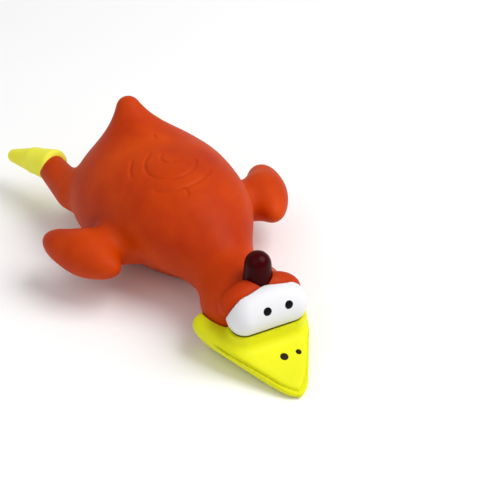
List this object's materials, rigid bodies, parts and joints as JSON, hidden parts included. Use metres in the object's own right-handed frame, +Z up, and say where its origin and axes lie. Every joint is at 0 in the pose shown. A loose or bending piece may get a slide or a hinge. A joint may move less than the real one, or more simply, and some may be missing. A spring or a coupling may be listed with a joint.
{
  "type": "rubber chicken",
  "caption": "Squeaking latex chicken that lies on its belly, with a wide flat beak, a white eye band, and wings, legs, tail and neck that flex.",
  "frame": {"origin": "on the flat of the belly, under the middle of the back", "axes": "+X towards the beak, +Y towards the toy's left side, +Z up"},
  "size_m": [0.1993, 0.1124, 0.063],
  "materials": {
    "orange_latex": "matt painted latex with a soft sheen",
    "yellow_latex": "matt painted latex",
    "white_latex": "satin painted latex",
    "dark_red_latex": "satin painted latex",
    "black_paint": "satin paint",
    "filling": "fluffy fibre",
    "squeaker_plastic": "moulded"
  },
  "bodies": {
    "torso": {"torso_shell": "orange_latex", "stuffing": "filling", "squeaker_housing": "squeaker_plastic", "squeaker_cover": "squeaker_plastic", "reed_seat": "squeaker_plastic"},
    "back": {"back_panel": "orange_latex"},
    "neck_section": {"neck": "orange_latex"},
    "head_section": {"head": "orange_latex", "eye_band": "white_latex", "left_pupil": "black_paint", "right_pupil": "black_paint", "upper_beak": "yellow_latex", "lower_beak": "yellow_latex", "left_nostril": "black_paint", "right_nostril": "black_paint", "comb": "dark_red_latex"},
    "left_wing_section": {"left_wing": "orange_latex"},
    "right_wing_section": {"right_wing": "orange_latex"},
    "left_leg_section": {"left_leg": "orange_latex", "left_foot": "yellow_latex"},
    "right_leg_section": {"right_leg": "orange_latex", "right_foot": "yellow_latex"},
    "tail_section": {"tail": "orange_latex"},
    "reed": {"squeaker_reed": "squeaker_plastic"}
  },
  "joints": [
    {"name": "neck_nod", "type": "hinge", "parent": "torso", "child": "neck_section", "pos_m": [0.04, 0, 0.02], "axis": [0, -1, 0], "range_deg": [0, 30], "stiffness_Nm_per_rad": 0.4},
    {"name": "neck_sway", "type": "hinge", "parent": "neck_section", "child": "head_section", "pos_m": [0.055, 0, 0.02], "axis": [0, 0, 1], "range_deg": [-18, 18], "stiffness_Nm_per_rad": 0.3},
    {"name": "left_wing_flap", "type": "hinge", "parent": "torso", "child": "left_wing_section", "pos_m": [0, 0.036, 0.022], "axis": [1, 0, 0], "range_deg": [-20, 40], "stiffness_Nm_per_rad": 0.1},
    {"name": "right_wing_flap", "type": "hinge", "parent": "torso", "child": "right_wing_section", "pos_m": [0, -0.036, 0.022], "axis": [-1, 0, 0], "range_deg": [-20, 40], "stiffness_Nm_per_rad": 0.1},
    {"name": "left_leg_swing", "type": "hinge", "parent": "torso", "child": "left_leg_section", "pos_m": [-0.056, 0.0268, 0.0212], "axis": [0, 1, 0], "range_deg": [-15, 40], "stiffness_Nm_per_rad": 0.1},
    {"name": "right_leg_swing", "type": "hinge", "parent": "torso", "child": "right_leg_section", "pos_m": [-0.056, -0.0268, 0.0212], "axis": [0, 1, 0], "range_deg": [-15, 40], "stiffness_Nm_per_rad": 0.1},
    {"name": "tail_flex", "type": "hinge", "parent": "torso", "child": "tail_section", "pos_m": [-0.0392, 0, 0.0527], "axis": [0, 1, 0], "range_deg": [-20, 25], "stiffness_Nm_per_rad": 0.1},
    {"name": "back_press", "type": "slide", "parent": "torso", "child": "back", "axis": [0, 0, -1], "range_m": [0, 0.007], "stiffness_N_per_m": 500},
    {"name": "reed_flex", "type": "hinge", "parent": "torso", "child": "reed", "pos_m": [-0.0251, 0, 0.005], "axis": [0, 1, 0], "range_deg": [0, 9], "stiffness_Nm_per_rad": 0.000005}
  ],
  "couplings": [
    {"joint": "reed_flex", "follows": "back_press", "rad_per_m": 20}
  ]
}
